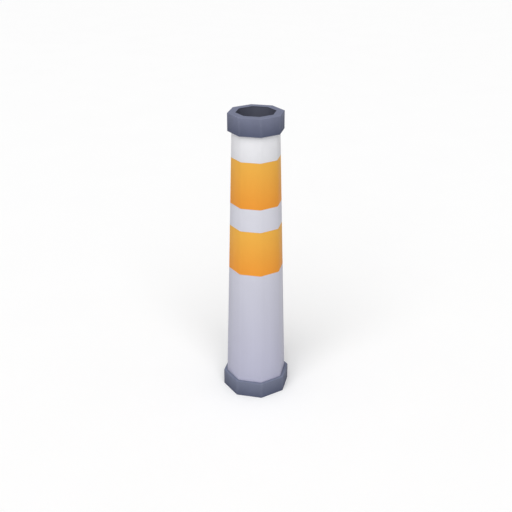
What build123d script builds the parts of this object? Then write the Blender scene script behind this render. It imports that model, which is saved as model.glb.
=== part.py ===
from build123d import *
import os
from math import radians, tan

# Eight-sided tubular delineator post with an open top socket and a slip-on base ring.
#
# Millimetres, +Z up, origin on the ground under the middle of the post. A flat of the octagon faces -Y.
# A tapered plastic shell carries four wraps of reflective sheeting. A rubber collar and a plastic socket
# liner are screwed to its open top. A cast ballast, bolted through the shell's floor to a steel plate,
# keeps it upright, and a rubber ring slips down over the whole post and rests round its foot.

# Overall size
side_count = 8
post_height = 915.0
shell_flats_at_top = 132.0
shell_flare = 24.0

# Shell
shell_wall = 4.0
shell_corner = 10.0
floor_thickness = 5.0
lip_overhang = 4.5
lip_height = 8.0
lip_corner = 8.0

# Reflective sheeting: bands counted down from the collar, with an open seam down the back
white_top_width = 78.5
orange_width = 142.0
white_middle_width = 71.5
sheeting_thickness = 0.5
sheeting_recess = 0.6
sheeting_joint = 0.3
sheeting_seam = 1.0
sheeting_tuck = 9.0

# Top collar and the steel stiffener inside its skirt
collar_overhang = 12.0
collar_corner = 4.0
collar_height = 54.0
collar_web = 12.0
collar_cover = 4.0
collar_edge = 2.0
stiffener_thickness = 2.0
stiffener_gap = 3.5

# Socket liner and the spacer that holds it off the shell
spacer_thickness = 4.0
liner_corner = 5.0
liner_wall = 2.5
liner_lip_width = 2.25
liner_lip_thickness = 2.5
liner_ledge_width = 4.5
liner_ledge_thickness = 3.0

# Collar screws: domed heads with a hexagon socket
screw_count = 4
screw_radius = 2.5
screw_head_radius = 4.75
screw_head_height = 3.0
screw_head_edge = 1.5
screw_socket_flats = 3.0
screw_socket_depth = 2.0
screw_tip = 2.0

# Base ring, with notches at the back that let water out
ring_wall = 3.5
ring_corner = 5.0
ring_height = 52.0
ring_edge = 2.0
ring_gap = 0.5
lip_gap = 0.75
notch_angles = (45.0, 135.0)
notch_width = 12.0
notch_height = 3.0

# Base plate and anti-slip pads
plate_inset = 6.25
plate_corner = 10.0
plate_thickness = 5.0
plate_gap = 0.5
pad_thickness = 3.0
pad_inset = 14.0
pad_corner = 5.0
pad_channel = 22.0
pad_bore_gap = 9.0

# Ballast
ballast_pad_thickness = 2.0
ballast_height = 47.0
ballast_gap = 1.5
ballast_edge = 2.5

# Ballast bolts, countersunk from below, with a hexagon socket
bolt_count = 4
bolt_radius = 4.0
bolt_head_height = 4.0
bolt_circle_radius = 50.0
bolt_length = 30.0
bolt_socket_flats = 5.0
bolt_socket_depth = 3.0
bolt_hole_spare = 8.0
countersink_angle = 90.0

# Anchor sleeve, for one bolt down through the middle
anchor_bore_radius = 9.0
sleeve_wall = 4.0
sleeve_flange_width = 13.0
sleeve_flange_thickness = 4.0

# Drainage
drain_count = 4
drain_radius = 3.5
drain_inset = 9.0
drain_channel_width = 14.0
drain_channel_depth = 14.0

# Clearance between pieces that go together by hand
fit = 0.2

# Sockets for hexagon keys
key_sides = 6

# Angles, counted from +X
flat_step = 360.0 / side_count
first_screw_angle = flat_step
first_drain_angle = flat_step

# Heights, from the ground up
shell_bottom = pad_thickness
floor_bottom = shell_bottom + plate_thickness
floor_top = floor_bottom + floor_thickness
lip_top = shell_bottom + lip_height
ballast_bottom = floor_top + ballast_pad_thickness
ballast_top = ballast_bottom + ballast_height
bolt_hole_top = shell_bottom + bolt_length + bolt_hole_spare
collar_bottom = post_height - collar_height
white_top_bottom = collar_bottom - white_top_width
orange_upper_bottom = white_top_bottom - orange_width
white_middle_bottom = orange_upper_bottom - white_middle_width
sheeting_bottom = white_middle_bottom - orange_width
sheeting_top = collar_bottom + sheeting_tuck
liner_ledge_top = collar_bottom + liner_ledge_thickness
liner_top = post_height - collar_cover
liner_lip_bottom = liner_top - liner_lip_thickness
shell_top = post_height - collar_web
stiffener_low = sheeting_top + stiffener_gap
stiffener_high = shell_top - stiffener_gap
screw_height = (stiffener_low + stiffener_high) / 2


def shell_flats(height):
    """The shell's size across its flats at a height: each side flares out evenly towards the ground."""
    return shell_flats_at_top + 2 * shell_flare * (1 - height / post_height)


# Sizes level with the ground, at the foot
shell_flats_at_ground = shell_flats(0)
lip_flats = shell_flats_at_ground + 2 * lip_overhang
ring_hole_flats = lip_flats + 2 * lip_gap
ring_flats = ring_hole_flats + 2 * ring_wall
plate_flats = shell_flats_at_ground - 2 * plate_inset
plate_bed_flats = plate_flats + 2 * plate_gap
pad_flats = plate_flats - 2 * pad_inset
drain_circle_radius = plate_flats / 2 - drain_inset
drain_channel_start = shell_flats(ballast_bottom) / 2 - shell_wall - ballast_gap
sleeve_radius = anchor_bore_radius + sleeve_wall
sleeve_flange_radius = sleeve_radius + sleeve_flange_width
pad_bore_radius = sleeve_radius + pad_bore_gap
bolt_head_radius = bolt_radius + bolt_head_height * tan(radians(countersink_angle / 2))

# Sizes level with the ground, at the top
skirt_inset = sheeting_recess - fit
collar_flats = shell_flats_at_top + 2 * collar_overhang
liner_flats = shell_flats(shell_top) - 2 * (shell_wall + fit + spacer_thickness)
liner_bore_flats = liner_flats - 2 * liner_wall
liner_bore_corner = liner_corner - liner_wall
liner_lip_flats = liner_flats + 2 * liner_lip_width
liner_lip_corner = liner_corner + liner_lip_width
liner_ledge_flats = liner_bore_flats - 2 * liner_ledge_width
screw_seat = liner_bore_flats / 2
screw_end = shell_flats(screw_height) / 2 - skirt_inset + stiffener_thickness + screw_tip
screw_hole_start = liner_ledge_flats / 2


def octagon(height, flats, corner):
    """A regular octagon measured across its flats, with rounded corners, lying at a height."""
    with BuildSketch(Plane.XY.offset(height)) as outline:
        RegularPolygon(flats / 2, side_count, major_radius=False, rotation=flat_step / 2)
        fillet(outline.vertices(), corner)
    return outline.sketch


def prism(low, high, flats, corner, mode=Mode.ADD):
    """Adds or cuts a straight octagonal block between two heights."""
    extrude(octagon(low, flats, corner), amount=high - low, mode=mode)


def taper(low, high, inset, mode=Mode.ADD):
    """Adds or cuts a block that follows the shell's outside, set in from it, between two heights."""
    ends = [octagon(z, shell_flats(z) - 2 * inset, shell_corner - inset) for z in (low, high)]
    loft(ends, ruled=True, mode=mode)


def upright_holes(radius, count, circle_radius, first_angle, low, high):
    """Cuts a ring of upright round holes between two heights."""
    with Locations((0, 0, low)):
        with PolarLocations(circle_radius, count, first_angle):
            Cylinder(radius, high - low, align=(Align.CENTER, Align.CENTER, Align.MIN), mode=Mode.SUBTRACT)


def floor_holes(low, high):
    """Cuts the holes that every layer of the floor shares: anchor sleeve, ballast bolts and drains."""
    upright_holes(sleeve_radius + fit, 1, 0, 0, low, high)
    upright_holes(bolt_radius + fit, bolt_count, bolt_circle_radius, 0, low, high)
    upright_holes(drain_radius, drain_count, drain_circle_radius, first_drain_angle, low, high)


def screw_planes(distance):
    """Planes that face outward across the collar screws' axes, at a distance from the post's axis."""
    places = PolarLocations(distance, screw_count, first_screw_angle).locations
    lift = Vector(0, 0, screw_height)
    return [Plane(place.position + lift, z_dir=place.x_axis.direction) for place in places]


def screw_holes(radius):
    """Cuts the holes for the collar screws, from inside the socket to the screws' tips."""
    with BuildSketch(*screw_planes(screw_hole_start)) as hole:
        Circle(radius)
    extrude(hole.sketch, amount=screw_end - screw_hole_start, mode=Mode.SUBTRACT)


def edges_at(part, height):
    """The edges of a part that lie flat at a height."""
    tolerance = 0.01
    return part.edges().filter_by_position(Axis.Z, height - tolerance, height + tolerance)


def outer_loop(part, height):
    """The outermost loop of edges at a height: one edge for each side and one for each corner."""
    return edges_at(part, height).sort_by(lambda edge: -edge.center().length)[: 2 * side_count]


def save(part, name):
    """Labels a finished piece and writes it to its own file."""
    part.label = name
    export_step(part, f"parts/{name}.step")


os.makedirs("parts", exist_ok=True)

# Post shell: a tapered tube with a floor, an outward lip at its foot and a shallow recess for the sheeting
with BuildPart() as post_shell:
    taper(shell_bottom, sheeting_bottom, 0)
    taper(sheeting_bottom, shell_top, sheeting_recess)
    prism(shell_bottom, lip_top, lip_flats, lip_corner)
    taper(floor_top, shell_top, shell_wall, mode=Mode.SUBTRACT)
    prism(shell_bottom, floor_bottom, plate_bed_flats, plate_corner + plate_gap, mode=Mode.SUBTRACT)
    floor_holes(floor_bottom, floor_top)
    screw_holes(screw_radius + fit)
save(post_shell.part, "post_shell")


def sheeting_wrap(name, low, high):
    """One wrap of reflective sheeting in the shell's recess, with its open seam at the back."""
    with BuildPart() as wrap:
        taper(low, high, sheeting_recess - sheeting_thickness)
        taper(low, high, sheeting_recess, mode=Mode.SUBTRACT)
        with Locations((0, shell_flats_at_ground / 2, (low + high) / 2)):
            Box(sheeting_seam, shell_flats_at_ground, high - low, mode=Mode.SUBTRACT)
    save(wrap.part, name)


sheeting_wrap("orange_band_lower", sheeting_bottom, white_middle_bottom - sheeting_joint)
sheeting_wrap("white_band_middle", white_middle_bottom, orange_upper_bottom - sheeting_joint)
sheeting_wrap("orange_band_upper", orange_upper_bottom, white_top_bottom - sheeting_joint)
sheeting_wrap("white_band_top", white_top_bottom, sheeting_top)

# Collar stiffener: a steel hoop round the shell's rim, which the collar screws cut their threads in
with BuildPart() as collar_stiffener:
    taper(stiffener_low, stiffener_high, skirt_inset - stiffener_thickness)
    taper(stiffener_low, stiffener_high, skirt_inset, mode=Mode.SUBTRACT)
    screw_holes(screw_radius)
save(collar_stiffener.part, "collar_stiffener")

# Top collar: a rubber cap over the shell's rim and the liner's lip, whose skirt holds the stiffener
with BuildPart() as top_collar:
    prism(collar_bottom, post_height, collar_flats, collar_corner)
    fillet(outer_loop(top_collar, post_height), collar_edge)
    fillet(outer_loop(top_collar, collar_bottom), collar_edge / 2)
    taper(collar_bottom, shell_top, skirt_inset, mode=Mode.SUBTRACT)
    taper(collar_bottom, sheeting_top + fit, -fit, mode=Mode.SUBTRACT)
    prism(shell_top, liner_top, liner_flats, liner_corner, mode=Mode.SUBTRACT)
    prism(liner_lip_bottom, liner_top, liner_lip_flats, liner_lip_corner, mode=Mode.SUBTRACT)
    prism(liner_top, post_height, liner_bore_flats, liner_bore_corner, mode=Mode.SUBTRACT)
    add(collar_stiffener.part, mode=Mode.SUBTRACT)
    screw_holes(screw_radius + fit)
save(top_collar.part, "top_collar")

# Liner spacer: a rubber ring between the shell's rim and the socket liner
with BuildPart() as liner_spacer:
    taper(collar_bottom, shell_top, shell_wall + fit)
    prism(collar_bottom, shell_top, liner_flats, liner_corner, mode=Mode.SUBTRACT)
    screw_holes(screw_radius + fit)
save(liner_spacer.part, "liner_spacer")

# Socket liner: a stiff octagonal tube with a lip under the collar's top and a ledge that stops an insert
with BuildPart() as socket_liner:
    prism(collar_bottom, liner_top, liner_flats, liner_corner)
    prism(liner_lip_bottom, liner_top, liner_lip_flats, liner_lip_corner)
    prism(liner_ledge_top, liner_top, liner_bore_flats, liner_bore_corner, mode=Mode.SUBTRACT)
    prism(collar_bottom, liner_ledge_top, liner_ledge_flats, liner_bore_corner, mode=Mode.SUBTRACT)
    screw_holes(screw_radius + fit)
save(socket_liner.part, "socket_liner")

# Collar screws: heads inside the socket, shanks out through liner, spacer, shell and stiffener
with BuildPart() as collar_screws:
    with BuildSketch(*screw_planes(screw_seat - screw_head_height)):
        Circle(screw_head_radius)
    extrude(amount=screw_head_height)
    head_rims = collar_screws.faces().group_by(SortBy.DISTANCE)[0].edges()
    fillet(head_rims, screw_head_edge)
    with BuildSketch(*screw_planes(screw_seat)):
        Circle(screw_radius)
    extrude(amount=screw_end - screw_seat)
    with BuildSketch(*screw_planes(screw_seat - screw_head_height)):
        RegularPolygon(screw_socket_flats / 2, key_sides, major_radius=False)
    extrude(amount=screw_socket_depth, mode=Mode.SUBTRACT)
save(collar_screws.part, "collar_screws")

# Base ring: slips over the whole post; its hole follows the shell's taper and a rebate clears the foot lip
with BuildPart() as base_ring:
    prism(0, ring_height, ring_flats, ring_corner)
    fillet(outer_loop(base_ring, ring_height), ring_edge)
    fillet(outer_loop(base_ring, 0), ring_edge / 2)
    taper(0, ring_height, -ring_gap, mode=Mode.SUBTRACT)
    prism(0, lip_top + lip_gap, ring_hole_flats, lip_corner + lip_gap, mode=Mode.SUBTRACT)
    for angle in notch_angles:
        with PolarLocations(ring_flats / 2, 1, angle):
            Box(ring_flats - lip_flats, notch_width, 2 * notch_height, mode=Mode.SUBTRACT)
save(base_ring.part, "base_ring")

# Base plate: steel, let into the underside of the shell
with BuildPart() as base_plate:
    prism(shell_bottom, floor_bottom, plate_flats, plate_corner)
    floor_holes(shell_bottom, floor_bottom)
    with Locations(Plane((0, 0, shell_bottom), z_dir=(0, 0, -1))):
        with PolarLocations(bolt_circle_radius, bolt_count):
            CounterSinkHole(bolt_radius + fit, bolt_head_radius + fit, plate_thickness, countersink_angle)
save(base_plate.part, "base_plate")

# Anti-slip pads: rubber quarters under the plate, with channels that clear the bolts and lead water out
with BuildPart() as pad_sheet:
    prism(0, pad_thickness, pad_flats, pad_corner)
    with Locations((0, 0, pad_thickness / 2)):
        Cylinder(pad_bore_radius, pad_thickness, mode=Mode.SUBTRACT)
        Box(pad_flats, pad_channel, pad_thickness, mode=Mode.SUBTRACT)
        Box(pad_channel, pad_flats, pad_thickness, mode=Mode.SUBTRACT)
for number, pad in enumerate(pad_sheet.solids().sort_by(Axis.X), start=1):
    save(pad, f"anti_slip_pad_{number}")

# Ballast pad: a rubber sheet between the casting and the shell's floor
with BuildPart() as ballast_pad:
    taper(floor_top, ballast_bottom, shell_wall + ballast_gap)
    floor_holes(floor_top, ballast_bottom)
save(ballast_pad.part, "ballast_pad")

# Ballast weight: a casting with drain channels down its sides and tapped holes from below
with BuildPart() as ballast_weight:
    taper(ballast_bottom, ballast_top, shell_wall + ballast_gap)
    chamfer(outer_loop(ballast_weight, ballast_top), ballast_edge)
    upright_holes(sleeve_radius + fit, 1, 0, 0, ballast_bottom, ballast_top)
    upright_holes(bolt_radius, bolt_count, bolt_circle_radius, 0, ballast_bottom, bolt_hole_top)
    with Locations((0, 0, (ballast_bottom + ballast_top) / 2)):
        with PolarLocations(drain_channel_start, drain_count, first_drain_angle):
            Box(2 * drain_channel_depth, drain_channel_width, ballast_height, mode=Mode.SUBTRACT)
save(ballast_weight.part, "ballast_weight")

# Ballast bolts: up through plate, floor and pad into the casting
with BuildPart() as ballast_bolts:
    with Locations((0, 0, shell_bottom)):
        with PolarLocations(bolt_circle_radius, bolt_count):
            upward = (Align.CENTER, Align.CENTER, Align.MIN)
            Cylinder(bolt_radius, bolt_length, align=upward)
            Cone(bolt_head_radius, bolt_radius, bolt_head_height, align=upward)
    with BuildSketch(Plane.XY.offset(shell_bottom)):
        with PolarLocations(bolt_circle_radius, bolt_count):
            RegularPolygon(bolt_socket_flats / 2, key_sides, major_radius=False)
    extrude(amount=bolt_socket_depth, mode=Mode.SUBTRACT)
save(ballast_bolts.part, "ballast_bolts")

# Anchor sleeve: a flanged steel tube that takes the load of one ground bolt
with BuildPart() as anchor_sleeve:
    with BuildSketch(Plane.XY.offset(shell_bottom)):
        Circle(sleeve_radius)
    extrude(amount=ballast_top - shell_bottom)
    with BuildSketch(Plane.XY.offset(ballast_top)):
        Circle(sleeve_flange_radius)
    extrude(amount=sleeve_flange_thickness)
    Hole(anchor_bore_radius)
save(anchor_sleeve.part, "anchor_sleeve")
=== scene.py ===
"""A tapered eight-sided delineator post: node materials, a pale floor, soft light and a camera."""

from functools import cached_property
import math

import bpy
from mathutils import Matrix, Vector


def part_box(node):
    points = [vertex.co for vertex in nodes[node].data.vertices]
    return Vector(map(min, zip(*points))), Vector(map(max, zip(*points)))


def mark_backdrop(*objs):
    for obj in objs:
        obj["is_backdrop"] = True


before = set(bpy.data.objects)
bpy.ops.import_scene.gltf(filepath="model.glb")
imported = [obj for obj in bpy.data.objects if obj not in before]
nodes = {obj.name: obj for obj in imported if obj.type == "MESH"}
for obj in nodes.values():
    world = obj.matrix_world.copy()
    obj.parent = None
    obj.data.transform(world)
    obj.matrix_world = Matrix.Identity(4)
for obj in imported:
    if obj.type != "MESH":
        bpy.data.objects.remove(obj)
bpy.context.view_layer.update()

SIDE_ANGLE = math.pi / 4        # the post has eight sides, and a flat faces -Y
OUTSIDE_SOFTNESS = 0.85         # how round light makes the eight sides: 0 is flat sides, 1 a round post
SHEETING_CELL = 0.0032          # distance between the waves that make the reflective cells, in metres
PAINTED_LIGHT_ABOVE_RING = 0.018         # height over which painted light makes the shell paler towards the ring, against the shade there, in metres


def linear(red, green, blue):
    """The linear colour, with alpha, of screen values from 0 to 255."""
    shares = [value / 255 for value in (red, green, blue)]
    return [((s + 0.055) / 1.055) ** 2.4 if s > 0.04045 else s / 12.92 for s in shares] + [1.0]


# --- Colours: a pair runs from a part's lower end to its upper end, or from its darkest to its lightest ---

SHELL = linear(168, 168, 188), linear(189, 189, 201)
ORANGE = linear(223, 144, 53), linear(224, 168, 72)
WHITE_TOP = linear(211, 211, 215), linear(228, 228, 231)
WHITE_MIDDLE = linear(200, 200, 210), linear(203, 203, 211)
COLLAR = linear(78, 83, 104), linear(111, 115, 135)
RING = linear(78, 83, 103), linear(108, 113, 132)
# painted shade for rubber faces that look into the hole
PAINTED_SHADE_INSIDE_RUBBER = linear(84, 86, 100)
WORN_RUBBER = linear(150, 155, 172)
# the liner's own dark grey, darkened further as painted shade inside the socket, darkest at its lower end
LINER_AND_PAINTED_SHADE = linear(78, 80, 92), linear(88, 90, 105)
ZINC = linear(168, 172, 178), linear(200, 203, 208)
STAINLESS = linear(178, 178, 180), linear(206, 206, 208)
BLACKENED = linear(74, 76, 86), linear(96, 98, 108)
IRON = linear(52, 52, 54), linear(86, 86, 88)
RUST = linear(112, 66, 42)
BLACK_RUBBER = linear(34, 34, 36), linear(60, 60, 62)
FLOOR = linear(251, 251, 251), linear(253, 253, 253)


# --- Node materials ---------------------------------------------------------------------------------------

class Surface:
    """A Principled material in the making. Its methods add nodes, and most give back an output socket."""

    def __init__(self, name, specular=0.5, metallic=0.0, softness=0.0):
        self.material = bpy.data.materials.new(name)
        self.material.use_nodes = True
        self.tree = self.material.node_tree
        self.tree.nodes.clear()
        self.shader = self.node("ShaderNodeBsdfPrincipled")
        self.set("Specular IOR Level", specular)
        self.set("Metallic", metallic)
        self.node("ShaderNodeOutputMaterial", self.shader.outputs[0])
        self.place = self.node("ShaderNodeTexCoord").outputs["Object"]
        self.face = self.node("ShaderNodeNewGeometry").outputs["Normal"]
        self.normal = self.softened_normal(softness)
        self.set("Normal", self.normal)

    def node(self, kind, *inputs, **settings):
        """Adds a node, and links or sets its first inputs in order."""
        made = self.tree.nodes.new(kind)
        for name, value in settings.items():
            setattr(made, name, value)
        for socket, value in zip(made.inputs, inputs):
            self.feed(socket, value)
        return made

    def feed(self, socket, value):
        """Links an output socket to an input, or sets the input's own value."""
        if isinstance(value, bpy.types.NodeSocket):
            self.tree.links.new(value, socket)
        else:
            socket.default_value = value

    def set(self, name, value):
        """Links or sets one of the shader's inputs."""
        self.feed(self.shader.inputs[name], value)

    def math(self, operation, *values):
        return self.node("ShaderNodeMath", *values, operation=operation).outputs[0]

    def vector(self, operation, *values, output="Vector"):
        return self.node("ShaderNodeVectorMath", *values, operation=operation).outputs[output]

    def scaled(self, vector, factor):
        """A vector or a colour times a number."""
        made = self.node("ShaderNodeVectorMath", vector, operation="SCALE")
        self.feed(made.inputs["Scale"], factor)
        return made.outputs["Vector"]

    def line(self, value, start, end, low=0.0, high=1.0):
        """Goes straight from low to high as value goes from start to end, and stays level outside."""
        return self.node("ShaderNodeMapRange", value, start, end, low, high).outputs[0]

    def ramp(self, value, start, end, low=0.0, high=1.0):
        """As line, but easing in and out."""
        made = self.node("ShaderNodeMapRange", value, start, end, low, high)
        made.interpolation_type = "SMOOTHSTEP"
        return made.outputs[0]

    def varied(self, noise, low, high):
        """Noise spread from low to high: nearly all noise lies between 0.3 and 0.7."""
        return self.line(noise, 0.3, 0.7, low, high)

    def mix(self, share, first, second):
        """A colour between two others."""
        made = self.node("ShaderNodeMix", data_type="RGBA")
        self.feed(made.inputs[0], share)
        self.feed(made.inputs[6], first)
        self.feed(made.inputs[7], second)
        return made.outputs[2]

    def noise(self, per_metre, detail=3.0, stretch=(1.0, 1.0, 1.0)):
        """Noise from 0 to 1 with this many features in a metre, drawn out where a stretch is under 1."""
        made = self.node("ShaderNodeTexNoise", self.vector("MULTIPLY", self.place, stretch))
        made.inputs["Scale"].default_value = per_metre
        made.inputs["Detail"].default_value = detail
        return made.outputs[0]

    def cells(self, per_metre):
        """Voronoi cells, each in a random colour."""
        made = self.node("ShaderNodeTexVoronoi", self.place)
        made.inputs["Scale"].default_value = per_metre
        return made.outputs["Color"]

    @cached_property
    def coordinates(self):
        """X, Y and Z in the object's own metres."""
        return self.node("ShaderNodeSeparateXYZ", self.place).outputs

    @property
    def height(self):
        return self.coordinates[2]

    @cached_property
    def upward(self):
        """How far the face looks up, from -1 to 1."""
        return self.node("ShaderNodeSeparateXYZ", self.face).outputs[2]

    @cached_property
    def outward(self):
        """The level direction straight out from the post's axis."""
        return self.vector("NORMALIZE", self.vector("MULTIPLY", self.place, (1.0, 1.0, 0.0)))

    @cached_property
    def facing(self):
        """How far the face looks outward, from -1 inside the hole to 1 on the outside."""
        return self.vector("DOT_PRODUCT", self.face, self.outward, output="Value")

    @cached_property
    def round_angle(self):
        """The angle round the post, from -pi to pi. It jumps at the back, where the sheeting's seam is."""
        return self.math("ARCTAN2", self.coordinates[0], self.math("MULTIPLY", self.coordinates[1], -1.0))

    def corner_nearness(self, width_share):
        """1 along the eight upright corners, fading to 0 over this share of a side."""
        turn = self.math("DIVIDE", self.round_angle, SIDE_ANGLE)
        off_corner = self.math("ABSOLUTE", self.math("SUBTRACT", self.math("FRACT", turn), 0.5))
        return self.ramp(off_corner, 0.0, width_share, 1.0, 0.0)

    def softened_normal(self, softness):
        """The face's normal with its level part turned towards straight out from the post's axis."""
        if softness == 0.0:
            return self.face
        level = self.vector("MULTIPLY", self.face, (1.0, 1.0, 0.0))
        upright = self.vector("MULTIPLY", self.face, (0.0, 0.0, 1.0))
        own = self.scaled(self.vector("NORMALIZE", level), 1.0 - softness)
        side = self.math("SIGN", self.facing)
        radial = self.scaled(self.outward, self.math("MULTIPLY", side, softness))
        turned = self.vector("NORMALIZE", self.vector("ADD", own, radial))
        sized = self.scaled(turned, self.vector("LENGTH", level, output="Value"))
        return self.vector("ADD", sized, upright)

    def bump(self, relief, depth):
        """Presses a relief from 0 to 1 into the surface, depth metres deep, on top of what is there."""
        made = self.node("ShaderNodeBump")
        made.inputs["Strength"].default_value = 1.0
        made.inputs["Distance"].default_value = depth
        self.feed(made.inputs["Height"], relief)
        self.feed(made.inputs["Normal"], self.normal)
        self.normal = made.outputs[0]
        self.set("Normal", self.normal)


# --- Materials --------------------------------------------------------------------------------------------

def shell_plastic(low, high):
    """Lavender-white moulded plastic: paler at the top, with painted light just above the ring to lift the
    shade where they meet.
    """
    s = Surface("shell_plastic", specular=0.35, softness=OUTSIDE_SOFTNESS)
    base = s.mix(s.line(s.height, low, high), *SHELL)
    cloud = s.noise(14.0, stretch=(1.0, 1.0, 0.35))
    drawn = s.noise(160.0, detail=2.0, stretch=(1.0, 1.0, 0.03))
    tint = s.math("ADD", s.varied(cloud, 0.985, 1.015), s.varied(drawn, -0.008, 0.008))
    # painted light: the shell is up to 16% paler just above the ring, lifting the shade where it meets the
    # ring
    painted_light_above_ring = s.ramp(s.height, low + PAINTED_LIGHT_ABOVE_RING, low, 1.0, 1.16)
    s.set("Base Color", s.scaled(base, s.math("MULTIPLY", tint, painted_light_above_ring)))
    s.set("Roughness", s.varied(cloud, 0.44, 0.56))
    s.bump(s.noise(420.0, detail=2.0), depth=0.00012)
    s.bump(drawn, depth=0.0001)
    return s.material


def cell_wave(surface, along, turn):
    """Waves across the sheeting, at this turn from level. Three of them add up to six-sided cells."""
    level = surface.math("MULTIPLY", along, math.cos(turn))
    upright = surface.math("MULTIPLY", surface.height, math.sin(turn))
    phase = surface.math("MULTIPLY", surface.math("ADD", level, upright), 2 * math.pi / SHEETING_CELL)
    return surface.math("COSINE", phase)


def sheeting(name, low, high, lower_colour, upper_colour, radius):
    """Reflective film with small six-sided cells, lighter and smoother than the walls between them."""
    s = Surface(name, specular=0.06, softness=OUTSIDE_SOFTNESS)
    base = s.mix(s.line(s.height, low, high), lower_colour, upper_colour)
    along = s.math("MULTIPLY", s.round_angle, radius)
    first, second, third = [cell_wave(s, along, turn * math.pi / 3) for turn in range(3)]
    cell = s.ramp(s.math("ADD", s.math("ADD", first, second), third), -1.5, 0.0)
    cloud = s.noise(22.0)
    tint = s.math("ADD", s.line(cell, 0.0, 1.0, 0.97, 1.005), s.varied(cloud, -0.01, 0.01))
    s.set("Base Color", s.scaled(base, tint))
    s.set("Roughness", s.line(cell, 0.0, 1.0, 0.58, 0.46))
    s.bump(cell, depth=0.00006)
    return s.material


def moulded_rubber(name, low, high, lower_colour, upper_colour, painted_top_light):
    """Slate rubber: paler at the top, with painted light on faces that look up and painted shade on faces
    that look into the hole, rubbed at its corners.
    """
    s = Surface(name, specular=0.12, softness=OUTSIDE_SOFTNESS)
    outside = s.mix(s.line(s.height, low, high), lower_colour, upper_colour)
    # painted shade: faces that look into the hole take a darker colour
    base = s.mix(s.ramp(s.facing, -0.1, -0.4), outside, PAINTED_SHADE_INSIDE_RUBBER)
    grain = s.noise(900.0, detail=2.0)
    cloud = s.noise(30.0)
    tint = s.math("ADD", s.varied(grain, 0.95, 1.05), s.varied(cloud, -0.04, 0.04))
    # painted light: faces that look up are painted paler, as light from above would make them
    tint_and_top_light = s.math("MULTIPLY", tint, s.ramp(s.upward, 0.5, 0.9, 1.0, painted_top_light))
    rubbing = s.ramp(s.noise(70.0, detail=4.0), 0.35, 0.75, 0.03, 0.1)
    worn = s.math("MULTIPLY", s.corner_nearness(width_share=0.1), rubbing)
    s.set("Base Color", s.mix(worn, s.scaled(base, tint_and_top_light), WORN_RUBBER))
    s.set("Roughness", s.varied(cloud, 0.64, 0.78))
    s.bump(grain, depth=0.0002)
    return s.material


def liner_plastic(low, high):
    """Dark grey plastic with a spark-eroded finish. Its dark grey stands partly for the shade inside the
    socket, and it is darker towards the bottom as painted shade.
    """
    s = Surface("liner_plastic", specular=0.4, softness=OUTSIDE_SOFTNESS)
    # painted shade: darker towards the bottom of the socket
    base = s.mix(s.line(s.height, low, high), *LINER_AND_PAINTED_SHADE)
    grain = s.noise(1200.0, detail=2.0)
    s.set("Base Color", s.scaled(base, s.varied(grain, 0.94, 1.06)))
    s.set("Roughness", s.varied(s.noise(40.0), 0.45, 0.6))
    s.bump(grain, depth=0.0001)
    return s.material


def zinc_steel():
    """Hot-dipped steel with a spangle of zinc crystals."""
    s = Surface("zinc_steel", metallic=1.0)
    spangle = s.node("ShaderNodeSeparateXYZ", s.cells(110.0)).outputs[0]
    s.set("Base Color", s.mix(spangle, *ZINC))
    s.set("Roughness", s.line(spangle, 0.0, 1.0, 0.34, 0.5))
    s.bump(s.noise(500.0, detail=2.0), depth=0.00005)
    return s.material


def screw_steel(name, dark, light):
    """Machined screw steel, with fine marks and a duller skin in patches."""
    s = Surface(name, metallic=1.0)
    marks = s.noise(2500.0, detail=2.0)
    s.set("Base Color", s.mix(marks, dark, light))
    s.set("Roughness", s.varied(s.noise(120.0), 0.24, 0.4))
    s.bump(marks, depth=0.00003)
    return s.material


def cast_iron():
    """A sand casting, dark and pitted, with rust starting in patches."""
    s = Surface("cast_iron", specular=0.3, metallic=0.6)
    pits = s.noise(350.0, detail=5.0)
    rust = s.ramp(s.noise(35.0, detail=5.0), 0.5, 0.72, 0.0, 0.7)
    s.set("Base Color", s.mix(rust, s.mix(pits, *IRON), RUST))
    s.set("Roughness", s.line(rust, 0.0, 0.7, 0.62, 0.85))
    s.bump(pits, depth=0.0006)
    return s.material


def black_rubber():
    """Black rubber sheet with a fine grain."""
    s = Surface("black_rubber", specular=0.25)
    grain = s.noise(800.0, detail=2.0)
    s.set("Base Color", s.mix(grain, *BLACK_RUBBER))
    s.set("Roughness", s.varied(grain, 0.68, 0.82))
    s.bump(grain, depth=0.00025)
    return s.material


def dress(material, *names):
    """Gives CAD nodes a material."""
    for name in names:
        for slot in nodes[name].material_slots:
            slot.material = material


def heights(name):
    """The lowest and highest height of a CAD node."""
    low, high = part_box(name)
    return low.z, high.z


ring_heights = heights("base_ring")
collar_heights = heights("top_collar")
shell_shown = ring_heights[1], heights("orange_band_lower")[0]
dress(shell_plastic(*shell_shown), "post_shell")

band_colours = {"white_band_top": WHITE_TOP, "orange_band_upper": ORANGE, "white_band_middle": WHITE_MIDDLE,
                "orange_band_lower": ORANGE}
for name, colours in band_colours.items():
    half_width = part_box(name)[1].x
    dress(sheeting(name + "_film", *heights(name), *colours, half_width), name)

dress(moulded_rubber("collar_rubber", *collar_heights, *COLLAR, painted_top_light=1.15), "top_collar")
dress(moulded_rubber("ring_rubber", *ring_heights, *RING, painted_top_light=1.12), "base_ring")
dress(liner_plastic(*collar_heights), "socket_liner")
dress(zinc_steel(), "base_plate", "anchor_sleeve", "collar_stiffener")
dress(screw_steel("stainless_steel", *STAINLESS), "ballast_bolts")
dress(screw_steel("blackened_steel", *BLACKENED), "collar_screws")
dress(cast_iron(), "ballast_weight")
anti_slip_pads = [name for name in nodes if name.startswith("anti_slip_pad")]
dress(black_rubber(), "liner_spacer", "ballast_pad", *anti_slip_pads)


# --- Floor, light and camera ------------------------------------------------------------------------------

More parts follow.
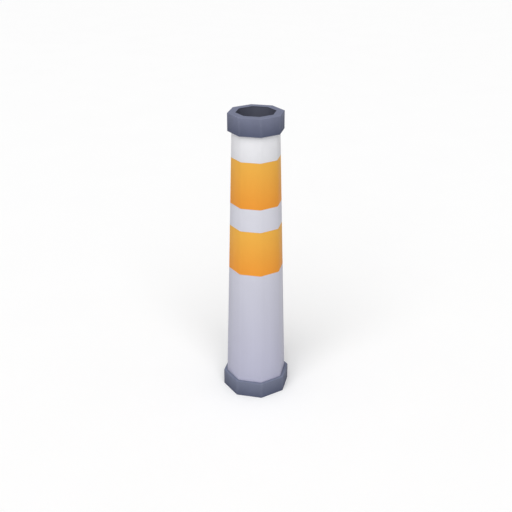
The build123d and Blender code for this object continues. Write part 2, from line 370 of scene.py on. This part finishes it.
AIM = Vector((0, 0, 0.457))
CAMERA_AZIMUTH = math.radians(12.9)
CAMERA_ELEVATION = math.radians(25.2)
CAMERA_DISTANCE = 2.516
CAMERA_LENS = 56.95             # millimetres, on a sensor 36 mm wide
VIEW_DEPTH = 100.0
FLOOR_SIZE = 60.0


def direction(azimuth, elevation):
    """The unit vector from the object towards a place at this azimuth from -Y and this elevation."""
    level = math.cos(elevation)
    return Vector((math.sin(azimuth) * level, -math.cos(azimuth) * level, math.sin(elevation)))


def aimed(name, data, place):
    """Adds an object at a place, looking at the middle of the post."""
    made = bpy.data.objects.new(name, data)
    bpy.context.scene.collection.objects.link(made)
    made.location = place
    made.rotation_euler = (AIM - place).to_track_quat("-Z", "Y").to_euler()
    return made


def soft_light(name, azimuth, elevation, strength, spread):
    """A broad, even light from far off, as from a large soft box, so that the floor is lit evenly too."""
    data = bpy.data.lights.new(name, "SUN")
    data.energy = strength
    data.angle = spread
    return aimed(name, data, AIM + direction(azimuth, elevation))


def floor():
    """A wide, plain, pale floor."""
    bpy.ops.mesh.primitive_plane_add(size=FLOOR_SIZE)
    made = bpy.context.object
    made.name = "floor"
    s = Surface("floor_paint", specular=0.1)
    s.set("Roughness", 0.9)
    s.set("Base Color", s.mix(s.noise(3.0), *FLOOR))
    made.data.materials.append(s.material)
    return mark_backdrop(made)


def surroundings(shown, lighting):
    """A plain white surround, as bright as the floor where it shows, and dimmer as a light."""
    world = bpy.data.worlds.new("surroundings")
    world.use_nodes = True
    tree = world.node_tree
    background = tree.nodes["Background"]
    background.inputs["Color"].default_value = (1, 1, 1, 1)
    seen = tree.nodes.new("ShaderNodeLightPath").outputs["Is Camera Ray"]
    strength = tree.nodes.new("ShaderNodeMapRange")
    strength.inputs["To Min"].default_value = lighting
    strength.inputs["To Max"].default_value = shown
    tree.links.new(seen, strength.inputs["Value"])
    tree.links.new(strength.outputs[0], background.inputs["Strength"])
    bpy.context.scene.world = world


floor()
surroundings(shown=0.98, lighting=0.34)
soft_light("key", azimuth=CAMERA_AZIMUTH - math.radians(8), elevation=math.radians(48), strength=2.2,
           spread=math.radians(60))
soft_light("overhead", azimuth=CAMERA_AZIMUTH, elevation=math.radians(88), strength=0.5,
           spread=math.radians(120))

camera_data = bpy.data.cameras.new("camera")
camera_data.lens = CAMERA_LENS
camera_data.clip_end = VIEW_DEPTH
camera_place = AIM + direction(CAMERA_AZIMUTH, CAMERA_ELEVATION) * CAMERA_DISTANCE
bpy.context.scene.camera = aimed("camera", camera_data, camera_place)
bpy.context.scene.view_settings.view_transform = "Standard"
